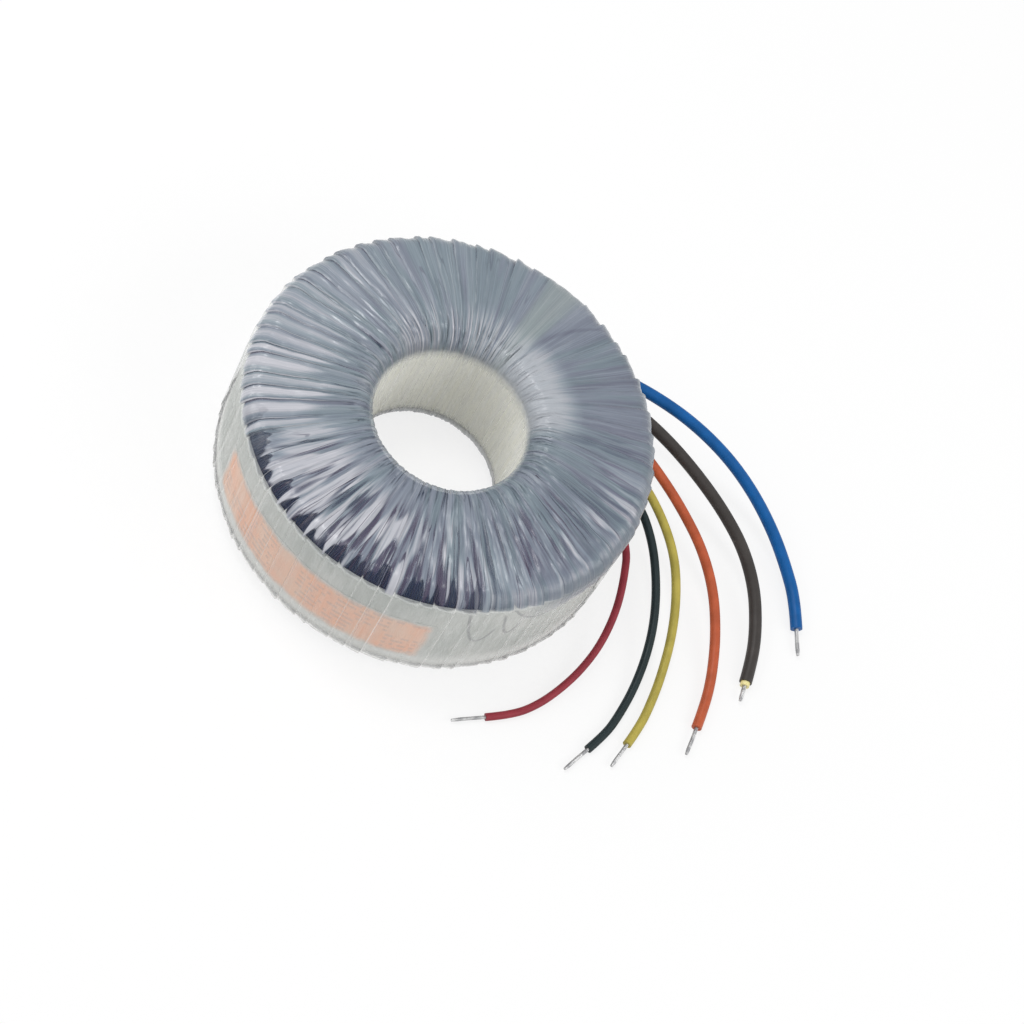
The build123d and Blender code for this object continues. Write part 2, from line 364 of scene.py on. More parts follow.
def drawStrands(sketch, size):                            # twisted strands along a straight tip
    line = sketch.add("GeometryNodeCurvePrimitiveLine", None, {"Start": size["start"], "End": size["end"]})
    even = sketch.add("GeometryNodeResampleCurve", {"mode": "COUNT"}, {
        "Curve": line, "Count": size["pointsAlong"]})
    many = sketch.add("GeometryNodeDuplicateElements", {"domain": "SPLINE"}, {
        "Geometry": even, "Amount": size["strands"]})
    number = many.of("Duplicate Index")
    along = sketch.add("GeometryNodeSplineParameter").of("Factor")
    turned = number / (size["strands"] - 1.0) * tau + along * size["twist"] * tau
    apart = (number > 0.5) * size["spacing"] * (1.0 - along.ramp(0.80, 1.0) * 0.35)
    place = sketch.add("GeometryNodeInputPosition")
    wandering = sketch.noise(place, 260.0, 1.0).of("Color")
    shaken = sketch.vectors("SUBTRACT", {0: wandering, 1: (0.5, 0.5, 0.5)})
    loose = sketch.vectors("SCALE", {0: shaken, "Scale": size["wander"] * along})
    sideways = sketch.vectors("SCALE", {0: size["side"], "Scale": turned.cosine() * apart})
    upwards = sketch.vectors("SCALE", {0: size["over"], "Scale": turned.sine() * apart})
    offset = sketch.vectors("ADD", {0: sideways, 1: upwards})
    offset = sketch.vectors("ADD", {0: offset, 1: loose})
    moved = sketch.add("GeometryNodeSetPosition", None, {"Geometry": many, "Offset": offset})
    ring = sketch.add("GeometryNodeCurvePrimitiveCircle", None, {
        "Resolution": 8, "Radius": size["strandRadius"]})
    wires = sketch.add("GeometryNodeCurveToMesh", None, {
        "Curve": moved, "Profile Curve": ring, "Fill Caps": True})
    return sketch.add("GeometryNodeSetShadeSmooth", None, {"Geometry": wires})


def makeTip(name, lead, finish):
    end = Vector(lead["route"][-1])
    along = (end - Vector(lead["route"][-2])).normalized()
    side = along.cross(Vector((0, 0, 1))).normalized()
    strandRadius = lead["tipDiameter"] / strandPacking["across"]
    sizes = {
        **strandSizes,
        "start": end - along * strandRadius,
        "end": end + along * (lead["tipLength"] - 2 * strandRadius),
        "side": side,
        "over": side.cross(along),
        "strandRadius": strandRadius,
        "spacing": strandPacking["apart"] * strandRadius,
    }
    tip = growMesh(name, sizes, drawStrands, finish)
    carry(tip, "tinned_copper", name.replace("Tip", "_lead_tip"))
    return tip


def makeLead(name, lead, tinned):
    curve = bpy.data.curves.new(name + "Lead", "CURVE")
    curve.dimensions = "3D"
    curve.resolution_u = 12
    curve.bevel_depth = lead["diameter"] / 2
    curve.bevel_resolution = 5
    curve.use_fill_caps = True
    spline = curve.splines.new("NURBS")
    spline.points.add(len(lead["route"]) - 1)
    for point, place in zip(spline.points, lead["route"]):
        point.co = (*place, 1)
    spline.order_u = 3
    spline.use_endpoint_u = True
    curve.materials.append(insulationFinish(name + "Insulation", lead["colour"]))
    cord = bpy.data.objects.new(name + "Lead", curve)
    scene.collection.objects.link(cord)
    carry(cord, name + "_insulation", name + "_lead")
    pieces = [makeTip(name + "Tip", lead, tinned)]
    if name == "brown":
        pieces.append(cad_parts["brown_lead_sleeve"])


tinned = makeFinish("tinnedCopper", tinFinish)
for leadName, leadFacts in leads.items():
    makeLead(leadName, leadFacts, tinned)
print("leads laid:", len(leads))


# winding: one continuous enamelled wire round the ring

windingSizes = {
    "turns": 520, "pointsPerTurn": 32, "bunching": 0.75,
    "boreRadius": 0.01871, "wallRadius": 0.0458,
    "crownHeight": 0.01666, "rimHeight": 0.01601, "flatRadius": 0.0255,
    "boreRound": 0.0040, "rimRound": 0.0029,
    "wireRadius": 0.00026, "spread": 0.22, "pileDepth": 0.00025, "middle": middle,
}
windingReaches = {                                        # radii between which wires pile up and stray
    "piled": (0.024, 0.037), "spread": (0.024, 0.044),
}


def sectionCurve(sketch, size):                           # round-cornered section in the XZ plane
    corners = {
        "Point 1": sketch.vector(size["wallRadius"], 0.0, -1.0 * size["crownHeight"]),
        "Point 2": sketch.vector(size["wallRadius"], 0.0, size["crownHeight"]),
        "Point 3": sketch.vector(size["boreRadius"], 0.0, size["crownHeight"]),
        "Point 4": sketch.vector(size["boreRadius"], 0.0, -1.0 * size["crownHeight"]),
    }
    square = sketch.add("GeometryNodeCurvePrimitiveQuadrilateral", {"mode": "POINTS"}, corners)
    corner = sketch.add("GeometryNodeInputIndex")
    radius = (corner > 1.5).between(size["rimRound"], size["boreRound"])
    return sketch.add("GeometryNodeFilletCurve", {"mode": "POLY"}, {
        "Curve": square, "Count": 16, "Radius": radius, "Limit Radius": True})


def alongSection(sketch, size, share):                    # radius, height, outward and upward lean, fall
    sample = sketch.add("GeometryNodeSampleCurve", {"mode": "FACTOR"}, {
        "Curves": sectionCurve(sketch, size), "Factor": share % 1.0})
    radius, unused, height = sketch.parted(sample.of("Position"))
    inwards, unused, upwards = sketch.parted(sample.of("Tangent"))
    fallen = radius.ramp(size["flatRadius"], size["wallRadius"], "LINEAR")
    level = 1.0 - fallen * (1.0 - size["rimHeight"] / size["crownHeight"])
    return radius, height * level, upwards, -1.0 * inwards, fallen


def drawWinding(sketch, size):
    count = size["turns"] * size["pointsPerTurn"]
    line = sketch.add("GeometryNodeCurvePrimitiveLine")
    wire = sketch.add("GeometryNodeResampleCurve", {"mode": "COUNT"}, {
        "Curve": line, "Count": count + 1.0})
    index = sketch.add("GeometryNodeInputIndex")
    share = index / size["pointsPerTurn"]
    turn = share.floor()
    bunched = share - ((share - 0.02) * 4.0 * tau).sine() * size["bunching"] / (4 * tau)   # at the corners
    radius, height, outward, upward, fallen = alongSection(sketch, size, bunched)
    piled = (turn % 2.0) * (1.0 - radius.ramp(*windingReaches["piled"])) * size["pileDepth"]
    wander = sketch.chance(turn) - 0.5
    strayed = wander * size["spread"] * radius.ramp(*windingReaches["spread"])
    angle = (share + strayed) / size["turns"] * tau
    reach = radius - outward * piled
    level = height - upward * piled + size["middle"]
    place = sketch.vector(angle.cosine() * reach, angle.sine() * reach, level)
    laid = sketch.add("GeometryNodeSetPosition", None, {"Geometry": wire, "Position": place})
    named = sketch.marked(laid, "turnNumber", turn)
    ring = sketch.add("GeometryNodeCurvePrimitiveCircle", None, {
        "Resolution": 4, "Radius": size["wireRadius"]})
    wires = sketch.add("GeometryNodeCurveToMesh", None, {
        "Curve": named, "Profile Curve": ring, "Fill Caps": True})
    return sketch.add("GeometryNodeSetShadeSmooth", None, {"Geometry": wires})


enamelTints = [                                           # navy, with some violet turns
    (0.00, (0.006, 0.012, 0.034)), (0.40, (0.012, 0.026, 0.064)), (0.66, (0.018, 0.016, 0.044)),
    (0.88, (0.052, 0.020, 0.042)), (1.00, (0.016, 0.036, 0.066)),
]


def enamelFinish(sketch):
    turn = sketch.attribute("turnNumber").round()
    tint = sketch.add("ShaderNodeValToRGB", {"stops": enamelTints}, {"Fac": sketch.chance(turn)})
    rubbed = sketch.noise(sketch.place(), 400.0, 2.0)
    return {
        "Base Color": tint,
        "Roughness": rubbed.between(0.32, 0.50),
        "Specular IOR Level": 0.25,
        "Normal": sketch.bump(rubbed, 0.00002),
    }


winding = growMesh("windingTurns", windingSizes, drawWinding, makeFinish("enamelledWire", enamelFinish))
carry(winding, "enamelled_wire", "secondary_outer_winding")
print("winding grown:", len(winding.data.polygons), "faces")


# film wrap: radial turns of clear film, each lapped over the one before it

filmSizes = {
    "turns": 66, "columnsPerTurn": 14, "rows": 104, "crowding": 0.25, "seamShare": 0.086,
    "boreRadius": 0.0175, "wallRadius": 0.04704,
    "crownHeight": filmHigh.z - middle, "rimHeight": 0.0166, "flatRadius": 0.0255,
    "boreRound": 0.0050, "rimRound": 0.00365, "middle": middle,
    "drift": radians(1.1), "pace": radians(137.5), "stepShare": 0.05,
    "slant": radians(4.2), "slantTwice": radians(2.2), "slantStart": radians(82),
    "lapRise": 0.0004, "lapVariation": 0.5, "smoothStart": radians(72), "smoothEnd": radians(88),
    "toothDepth": 0.00038, "lowerTeeth": 0.2, "foldDepth": 0.00022, "puckerDepth": 0.00050,
    "calmCentre": radians(53),                            # where the film lies smooth round the bore
}
filmReaches = {                                           # radii, or heights from the middle, of fades
    "leant": (0.0180, 0.0465), "lapped": (0.0178, 0.0400),
    "toothOut": (0.0435, 0.0460), "toothUp": (0.0120, 0.0145),
    "face": (0.0128, 0.0160), "puckerIn": (0.0176, 0.0190), "puckerOut": (0.0215, 0.0270),
}


def drawFilm(sketch, size):
    columns = size["turns"] * size["columnsPerTurn"]
    grid = sketch.add("GeometryNodeMeshGrid", None, {
        "Size X": 1.0, "Size Y": 1.0, "Vertices X": columns + 1.0, "Vertices Y": size["rows"] + 1.0})
    across, up, unused = sketch.parted(sketch.add("GeometryNodeInputPosition"))
    column = ((across + 0.5) * columns).round()
    turn = ((column + 0.25) / size["columnsPerTurn"]).floor()
    inTurn = (column - turn * size["columnsPerTurn"]) / (size["columnsPerTurn"] - 1.0)
    pitch = tau / size["turns"]

    def startOf(number):
        return number * pitch + ((number % size["turns"]) * size["pace"]).sine() * size["drift"]

    flow = (inTurn * (1.0 - size["stepShare"])).between(startOf(turn), startOf(turn + 1.0))
    row = up + 0.5
    share = row + (row * tau).sine() * size["crowding"] / tau
    radius, height, outward, upward, fallen = alongSection(sketch, size, share - size["seamShare"])
    lean = (flow - size["slantStart"]).sine() * size["slant"]
    lean = lean + ((flow - size["slantStart"]) * 2.0).sine() * size["slantTwice"]
    angle = flow + lean * radius.ramp(*filmReaches["leant"])

    smoothZone = (turn * pitch > size["smoothStart"]) * (turn * pitch < size["smoothEnd"])
    swing = (turn * size["pace"]).sine()
    rise = size["lapRise"] * (1.0 - size["lapVariation"] * swing * swing) * (1.0 - smoothZone)
    lap = rise * radius.ramp(*filmReaches["lapped"]).between(0.35, 1.0) * (inTurn + fallen - 1.0)
    atRim = radius.ramp(*filmReaches["toothOut"]) * abs(height).ramp(*filmReaches["toothUp"])
    atRim = atRim * (height > 0.0).between(size["lowerTeeth"], 1.0)
    lap = lap - (1.0 - inTurn) * size["toothDepth"] * atRim * (1.0 - smoothZone)

    folds = sketch.noise(sketch.around(flow, share * 1.2), 13.0, 2.0)
    ridges = abs(folds - 0.5).ramp(0.0, 0.12)
    onFace = abs(height).ramp(*filmReaches["face"])
    gathers = sketch.noise(sketch.around(flow, share * 0.5), 15.0, 1.0)
    grooves = 1.0 - abs(gathers - 0.5).ramp(0.0, 0.05)
    nearBore = radius.ramp(*filmReaches["puckerIn"]) * (1.0 - radius.ramp(*filmReaches["puckerOut"]))
    sunk = size["foldDepth"] * (1.0 - ridges) * onFace.between(0.25, 1.0)
    calm = (flow - size["calmCentre"]).cosine().ramp(0.86, 0.96) * 0.85
    sunk = sunk + size["puckerDepth"] * grooves * nearBore * onFace * (1.0 - calm)
    offset = lap - sunk
    reach = radius + outward * offset
    level = height + upward * offset + size["middle"]
    place = sketch.vector(angle.cosine() * reach, angle.sine() * reach, level)
    marked = grid
    marks = {
        "turnPlace": inTurn, "turnNumber": turn, "flowX": flow.cosine(), "flowY": flow.sine(),
        "groove": grooves * nearBore}
    for name, value in marks.items():
        marked = sketch.marked(marked, name, value)
    shaped = sketch.add("GeometryNodeSetPosition", None, {"Geometry": marked, "Position": place})
    closed = sketch.add("GeometryNodeMergeByDistance", None, {"Geometry": shaped, "Distance": 0.000001})
    return sketch.add("GeometryNodeSetShadeSmooth", None, {"Geometry": closed})


filmZones = {                                             # azimuth of the middle and half the width, degrees
    "strained": (267, 41),                                # long pale tongues, partly a painted reflection of the lamps on the folds, with dark wedges between
    "strainedRim": (330, 30), "late": (349, 20),          # the same, weaker and nearer the rim, with a painted sheen along the rim
    "fuller": (243, 20), "sparser": (303, 30),            # more tongues, fewer tongues
    "lapped": (189, 39), "lappedHighlight": (210, 22),       # one pale finger on each turn, partly a painted highlight on each tilted lap
    "faint": (122, 34), "quiet": (10, 60),                # faint fingers and painted glints, plain film
    "glow": (53, 24), "glowBeside": (89, 11),             # painted highlight round the bore
    "farRoll": (165, 38),                                 # paler roll into the bore
    "violet": (12, 14), "rimShadeZone": (264, 40),            # violet stain; film painted clearer and navy at the rim, partly painted shade
    "far": (64, 98),                                      # haze that comes down over the wall
}

filmStreaks = {                                           # cells round, cells across, start, detail
    "shade": (8.0, 1.2, 0.0, 2.0), "strand": (46.0, 1.3, 15.7, 2.0), "hair": (120.0, 1.2, 9.2, 2.0),
    "spindle": (16.0, 1.3, 3.1, 1.0), "sliver": (31.0, 1.5, 18.2, 1.0), "wedge": (25.0, 1.1, 6.4, 2.0),
    "crinkle": (15.0, 0.8, 21.0, 1.0), "glint": (50.0, 0.7, 12.3, 2.0), "hue": (11.0, 1.0, 30.0, 2.0),
}

filmChances = {                                           # seed of each chance that a turn draws
    "fingerStart": 0.13, "lapLine": 0.33, "wallLine": 0.47, "finger": 0.57, "lapEdgeShade": 0.71,
    "scallop": 0.83, "hook": 0.91,
}

filmBands = {                                             # radii, or heights over the foot, of each fade
    "face": (0.0200, 0.0465), "rimOut": (0.0438, 0.0448), "rimSheenOut": (0.0425, 0.0450),
    "farOut": (0.0448, 0.0458), "farUp": (0.0240, 0.0275),
    "bandUp": (0.0311, 0.0314), "bandAside": (0.0132, 0.0135), "boreOut": (0.0300, 0.0310),
    "crownUp": (0.0309, 0.0316), "crownDown": (0.0026, 0.0040), "boreCrown": (0.0100, 0.0150),
    "lowerUp": (0.0035, 0.0065), "lowerOut": (0.0425, 0.0440),
    "footUp": (0.0028, 0.0038), "footOut": (0.0440, 0.0450), "boreFootUp": (0.0025, 0.0060),
    "crease": (0.0001, 0.0008),                           # half the width of the long crease
}

filmLooks = {
    "zoneSoftness": 12,                                   # degrees over which a zone fades out
    "bruise": (24, 0.8, 2.0), "patch": (83, 4.5, 2.5),    # azimuth, half the width, softness
    "creaseStart": 77, "creaseEnd": 65,                   # the one long curved crease
    "tones": [
        (0.00, (0.060, 0.075, 0.120)), (0.22, (0.130, 0.162, 0.215)), (0.45, (0.215, 0.268, 0.325)),
        (0.62, (0.305, 0.360, 0.415)), (0.80, (0.450, 0.465, 0.515)), (1.00, (0.600, 0.595, 0.640))],
    "mauve": (0.262, 0.262, 0.345), "teal": (0.212, 0.284, 0.310), "purple": (0.120, 0.094, 0.175),
    "slate": (0.080, 0.100, 0.165), "navy": (0.040, 0.058, 0.120), "patchTint": (0.345, 0.400, 0.385),
    "wallHaze": (0.70, 0.73, 0.72), "boreHaze": (0.94, 0.94, 0.90), "bottomLightHaze": (0.95, 0.95, 0.93),
    # gleam: colour of the painted highlight round the bore
    "edgeTint": (0.145, 0.172, 0.205), "gleam": (0.500, 0.545, 0.590),
    "calmCover": 0.74, "paleCover": 0.90, "clearCover": 0.45, "rimCover": 0.30, "edgeCover": 0.96,
    "tintShare": 0.34, "darkShare": 0.8, "stainShare": 0.45, "navyShare": 0.85, "patchShare": 0.55,
    # glowTone: tone of the painted highlight round the bore
    "calmTone": 0.50, "paleTone": 0.89, "glowTone": 0.52, "creaseTone": 0.20, "darkTone": 0.15,
    "rimSheenTone": 0.28, "farRollTone": 0.15,
    "scallop": 0.0044, "wrinkleDepth": 0.0006, "coat": 0.6, "coatLoss": 0.55,
}


def clearFilmFinish(sketch):
    looks = filmLooks
    x, y, z = sketch.parted(sketch.place())
    radius = (x * x + y * y) ** 0.5
    angle = y.angleOver(x)
    height = abs(z - middle)
    turn = sketch.attribute("turnNumber").floor()
    across = sketch.attribute("turnPlace")                # 0 to 1 over each turn
    groove = sketch.attribute("groove")
    flowX = sketch.attribute("flowX")
    flowY = sketch.attribute("flowY")

    def fade(field, band):
        return field.ramp(*filmBands[band])

    reach = radius.ramp(*filmBands["face"], "LINEAR")     # 0 at the bore, 1 at the rim

    def streaks(name):                                    # noise drawn out from bore to rim
        scale, cells, start, detail = filmStreaks[name]
        return sketch.noise(sketch.vector(flowX, flowY, reach * (cells / scale) + start), scale, detail, 0.55)

    def sector(centre, half, soft):                       # 1 inside a sector given in degrees
        nearness = (angle - radians(centre)).cosine()
        return nearness.ramp(cos(radians(half + soft)), cos(radians(max(half - soft, 0))))

    def zone(name):
        return sector(*filmZones[name], looks["zoneSoftness"])

    def drawn(name):                                      # one chance for each turn
        return sketch.chance(turn + filmChances[name])

    def line(field, half):                                # thin line where a field crosses its middle
        return 1.0 - abs(field - 0.5).ramp(half * 0.3, half)

    strained, lapped, faint, quiet = (zone(name) for name in ("strained", "lapped", "faint", "quiet"))
    strainedRim = zone("strainedRim") * (1.0 - strained)
    lapped = lapped * (1.0 - strained)
    shade, strand, hair = (streaks(name) for name in ("shade", "strand", "hair"))
    spindle, sliver, wedge = (streaks(name) for name in ("spindle", "sliver", "wedge"))
    creases = line(streaks("crinkle"), 0.014) * strand.ramp(0.40, 0.60)

    pinch = reach.ramp(0.60, 1.0) * 0.09 - zone("fuller") * 0.085 + zone("sparser") * 0.055
    # pale tongues: paler film, partly a painted reflection of the lamps on the folds
    tongues = (spindle - pinch).ramp(0.46, 0.58) * reach.ramp(0.08, 0.42)
    tongues = tongues * strand.ramp(0.30, 0.50).between(0.7, 1.0)
    tongues = tongues.most((sliver - pinch * 0.6).ramp(0.50, 0.60) * reach.ramp(0.50, 0.75) * 0.85)
    # tongues nearer the rim: partly painted highlights
    lateTongues = (spindle - pinch * 0.4).ramp(0.48, 0.60) * reach.ramp(0.40, 0.75)
    wedges = (wedge + (reach - 0.40) * 0.12).ramp(0.47, 0.60) * reach.ramp(0.15, 0.50) * (1.0 - tongues)
    lenses = wedge.ramp(0.51, 0.62) * reach.ramp(0.10, 0.35) * (1.0 - reach.ramp(0.60, 0.95))
    # pale fingers: partly a painted highlight on each lapped turn
    fingerStart = drawn("fingerStart").between(0.05, 0.36) + abs(across - 0.40) * 0.30
    profile = across.ramp(0.04, 0.32) * (1.0 - across.ramp(0.50, 1.0) * 0.85)
    fingers = (reach - fingerStart).ramp(0.0, 0.25) * profile * drawn("finger").between(0.50, 1.0)
    hooks = (1.0 - abs(reach - 0.17).ramp(0.06, 0.17)) * (1.0 - across.ramp(0.0, 0.30))
    hooks = hooks * (drawn("hook") > 0.60)
    # painted glints near the bore
    glints = streaks("glint").ramp(0.51, 0.62) * (1.0 - reach.ramp(0.06, 0.50))
    patch = sector(*looks["patch"])
    creaseAngle = (reach * reach).between(radians(looks["creaseStart"]), radians(looks["creaseEnd"]))
    crease = 1.0 - fade(abs((angle - creaseAngle) * radius), "crease")
    crease = crease * reach.ramp(0.05, 0.40) * (1.0 - reach.ramp(0.80, 1.0) * 0.6)

    bruise = sector(*looks["bruise"]) * reach.ramp(0.10, 0.22) * (1.0 - reach.ramp(0.38, 0.60))
    stain = bruise.most(zone("violet") * sliver.ramp(0.49, 0.56) * reach.ramp(0.35, 0.60))
    # painted highlight round the bore: lifts the tone and turns the haze to the gleam colour
    glow = zone("glow") + zone("glowBeside") * strand.ramp(0.38, 0.58) * 0.8
    glow = glow.least(1.0) * (1.0 - reach.ramp(0.10, 0.40))

    late = zone("late")
    # pale: paler film, partly painted reflection and painted highlights in the tongues, fingers and glints
    pale = strained * tongues + (strainedRim * 0.35).most(late * 0.9) * lateTongues
    pale = pale + lapped * fingers * zone("lappedHighlight").between(0.62, 1.35)
    pale = (pale + faint * (fingers * 0.22 + glints * 0.9)).least(1.0)
    dark = strained * wedges + strainedRim * lenses * 0.55 + lapped * hooks * 0.6
    # dark line at the lapped edge of each turn: a real edge, darkened as painted shade of its step
    lapEdgeShade = (1.0 - across.ramp(0.02, 0.10)) * reach.ramp(0.60, 0.95) * (drawn("lapEdgeShade") > 0.35)
    lapEdgeShade = lapEdgeShade * (lapped * 0.9 + strained * 0.8 + faint * 0.6).least(1.0)
    fine = creases * reach.ramp(0.15, 0.45) * (strained + strainedRim * 0.7 + faint * 0.35).least(1.0)
    dark = (dark + lapEdgeShade * 0.8 + fine * 0.85).least(1.0)
    # film painted clearer and navy at the rim: the wire beneath is real, the dark where the rim reflects no
    # light is painted shade
    rim = zone("rimShadeZone") * fade(radius - (spindle - 0.5) * 0.020, "rimOut")
    lapLine = (1.0 - across.ramp(0.0, 0.070)) * (drawn("lapLine") > 0.40)
    wallLine = (lapLine + (1.0 - across.ramp(0.02, 0.45)) * drawn("wallLine") * 0.35).least(1.0)

    tone = looks["calmTone"] + (shade - 0.5) * 0.35 + (wedge - 0.5) * 0.55
    tone = tone + (strand - 0.5) * 0.65 + (hair - 0.5) * 0.40
    tone = tone - quiet * reach.ramp(0.10, 0.45) * 0.13 - faint * reach.ramp(0.10, 0.40) * 0.06
    tone = tone + glow * looks["glowTone"] - stain * 0.06 - crease * looks["creaseTone"]
    # painted sheen along the rim of the strained rim zones
    tone = tone + strainedRim.most(late) * fade(radius, "rimSheenOut") * looks["rimSheenTone"]
    tone = tone + zone("farRoll") * (1.0 - reach.ramp(0.04, 0.14)) * looks["farRollTone"]
    tone = pale.between(tone, looks["paleTone"] + (hair - 0.5) * 0.4) - dark * looks["darkTone"]
    cover = dark.between(pale.between(looks["calmCover"], looks["paleCover"]), looks["clearCover"])
    cover = rim.between(cover, looks["rimCover"]) + lapLine * rim * 0.6
    edge = zone("far") * fade(radius, "farOut") * fade(z, "farUp")
    cover = edge.between(cover, looks["edgeCover"])

    haze = sketch.add("ShaderNodeValToRGB", {"stops": looks["tones"]}, {"Fac": tone + lapLine * rim * 0.4})
    hue = (streaks("hue") + strained * 0.10).ramp(0.40, 0.60)
    tint = sketch.mixed(hue, looks["teal"], looks["mauve"])
    haze = sketch.mixed((1.0 - pale) * (1.0 - rim) * (1.0 - glow) * looks["tintShare"], haze, tint)
    deep = sketch.mixed(hue, looks["slate"], looks["purple"])
    haze = sketch.mixed((dark * looks["darkShare"]).most(stain * looks["stainShare"]), haze, deep)
    # painted shade: navy tint at the rim
    haze = sketch.mixed(rim * (1.0 - lapLine) * looks["navyShare"], haze, looks["navy"])
    haze = sketch.mixed(patch * looks["patchShare"], haze, looks["patchTint"])
    # painted highlight: gleam colour round the bore
    haze = sketch.mixed(glow * strand.ramp(0.30, 0.50).between(0.45, 0.75), haze, looks["gleam"])
    haze = sketch.mixed(edge * lapEdgeShade.between(0.75, 1.0), haze, looks["edgeTint"])

    scallop = (across - 0.5) * (across - 0.5) * drawn("scallop") * looks["scallop"]
    underBand = (1.0 - fade(z - scallop, "bandUp")) * fade(height, "bandAside")
    inBore = 1.0 - fade(radius, "boreOut")
    crown = fade(z - scallop, "crownUp") + (1.0 - fade(z, "crownDown"))
    crown = inBore.between(crown, fade(height + (strand - 0.5) * 0.004, "boreCrown"))
    # paler, hazier film at the bottom of the wall: painted light from the floor below
    paintedBottomLight = (1.0 - fade(z, "lowerUp")) * fade(radius, "lowerOut")
    foot = (1.0 - fade(z, "footUp")) * fade(radius, "footOut")
    boreFoot = inBore * (1.0 - fade(z, "boreFootUp"))
    wall = strand.ramp(0.35, 0.65).between(0.16, 0.26) + wallLine * 0.32 + underBand * 0.35
    wall = wall + paintedBottomLight * foot.between(0.45, 0.18) + boreFoot * 0.45
    wallTint = sketch.mixed(inBore, looks["wallHaze"], looks["boreHaze"])
    # whiter wall haze: painted light at the bottom, whitish film edges, and paler below the strained rim
    whitened = (paintedBottomLight + wallLine * 0.8 + zone("strainedRim") * 0.4).least(1.0)
    wallTint = sketch.mixed(whitened, wallTint, looks["bottomLightHaze"])
    top = (crown * (1.0 - paintedBottomLight) + edge).least(1.0)
    wrinkles = spindle * (strained * 0.40 + strainedRim * 0.10) + pale * 0.25 + strand * 0.25 + hair * 0.12
    wrinkles = wrinkles * (1.0 - reach.ramp(0.84, 0.98) * 0.8)
    dulled = (strained * 0.45 + strainedRim * 0.65 + glow * 0.4).least(looks["coatLoss"])
    return {
        "Base Color": sketch.mixed(top, wallTint, haze),
        "Alpha": top.between(wall, cover).least(0.97).most(0.03),
        "Roughness": hair.between(0.18, 0.34),
        "Normal": sketch.bump(wrinkles - groove * 0.3 - dark * 0.15, looks["wrinkleDepth"]),
        "Coat Weight": looks["coat"] - dulled,
        "Coat Roughness": 0.2,
    }


film = growMesh("filmWrap", filmSizes, drawFilm, makeFinish("clearFilm", clearFilmFinish))
carry(film, "clear_film", "outer_wrap")
print("film grown:", len(film.data.polygons), "faces")


# finishes of the solids that stay

tapeRadius = 0.0465

tapeLooks = {
    # foot: paler colour near the bottom, painted light from the floor below
    "shadow": (0.465, 0.485, 0.460), "light": (0.565, 0.575, 0.550), "foot": (0.92, 0.92, 0.90),
    "cloth": (0.74, 0.75, 0.74), "line": (0.26, 0.26, 0.27),
    "footUp": (0.0030, 0.0110), "lineWidth": (0.00018, 0.00048), "lineEnd": 0.0015,
}

wallLoops = [                                             # wire under the tape: azimuth, foot, top, steepness
    {"centre": 310.6, "low": 0.0162, "high": 0.0250, "steepness": 560.0},
    {"centre": 319.0, "low": 0.0185, "high": 0.0252, "steepness": 1000.0},
    {"centre": 327.5, "low": 0.0232, "high": 0.0262, "steepness": 95.0},
]

labelLooks = {
    "centre": 258.5, "half": 39.5, "low": 0.0068, "high": 0.0227, "fade": 0.0024, "ragged": 0.0022,
    "first": (0.86, 0.47, 0.31), "last": (0.82, 0.54, 0.40), "print": (0.36, 0.32, 0.33),
    "rowPitch": 0.0017, "rowShare": 0.5, "dashLength": 0.0009, "blockLength": 0.0075, "printShare": 0.32,
}


def awayFrom(angle, centre):                              # turn from a centre given in degrees
    return (angle - radians(centre) + 3 * pi) % tau - pi


def tapeTint(sketch, place, angle, z):                    # cloudy tape, painted paler towards its foot as light from the floor below
    looks = tapeLooks
    cloudy = sketch.noise(place, 90.0, 3.0).ramp(0.35, 0.65)
    cloth = sketch.noise(sketch.around(angle, z * 5.0), 46.0, 3.0, 0.6)
    base = sketch.mixed(cloudy, looks["shadow"], looks["light"])
    base = sketch.mixed(cloth.ramp(0.45, 0.75) * 0.4, base, looks["cloth"])
    for loop in wallLoops:
        aside = awayFrom(angle, loop["centre"]) * tapeRadius
        rise = aside * aside * loop["steepness"]
        slope = (1.0 + aside * aside * (4 * loop["steepness"] ** 2)) ** 0.5
        near = 1.0 - (abs(z - loop["low"] - rise) / slope).ramp(*looks["lineWidth"])
        near = near * (1.0 - (z + aside).ramp(loop["high"] - looks["lineEnd"], loop["high"]))
        base = sketch.mixed(near * 0.8, base, looks["line"])
    # painted light: paler towards the foot
    return sketch.mixed(1.0 - z.ramp(*looks["footUp"]), base, looks["foot"]), cloth


def tapeFinish(sketch):
    place = sketch.place()
    x, y, z = sketch.parted(place)
    tint, cloth = tapeTint(sketch, place, y.angleOver(x), z)
    return {
        "Base Color": tint,
        "Roughness": 0.6,
        "Normal": sketch.bump(cloth, 0.0002),
    }


sleeveLooks = {
    "cream": (0.95, 0.945, 0.86), "pale": (0.93, 0.93, 0.89), "thread": (0.84, 0.83, 0.78),
}


def sleeveFinish(sketch):
    x, y, z = sketch.parted(sketch.place())
    angle = y.angleOver(x)
    lines = sketch.noise(sketch.around(angle, z * 6.0), 20.0, 3.0, 0.6)
    threads = sketch.noise(sketch.around(angle, z * 4.0), 110.0, 1.0)
    base = sketch.mixed(lines.ramp(0.35, 0.65), sleeveLooks["cream"], sleeveLooks["pale"])
    return {
        "Base Color": sketch.mixed(threads.ramp(0.60, 0.85) * 0.4, base, sleeveLooks["thread"]),
        "Roughness": 0.55,
        "Normal": sketch.bump(lines, 0.0002),
    }


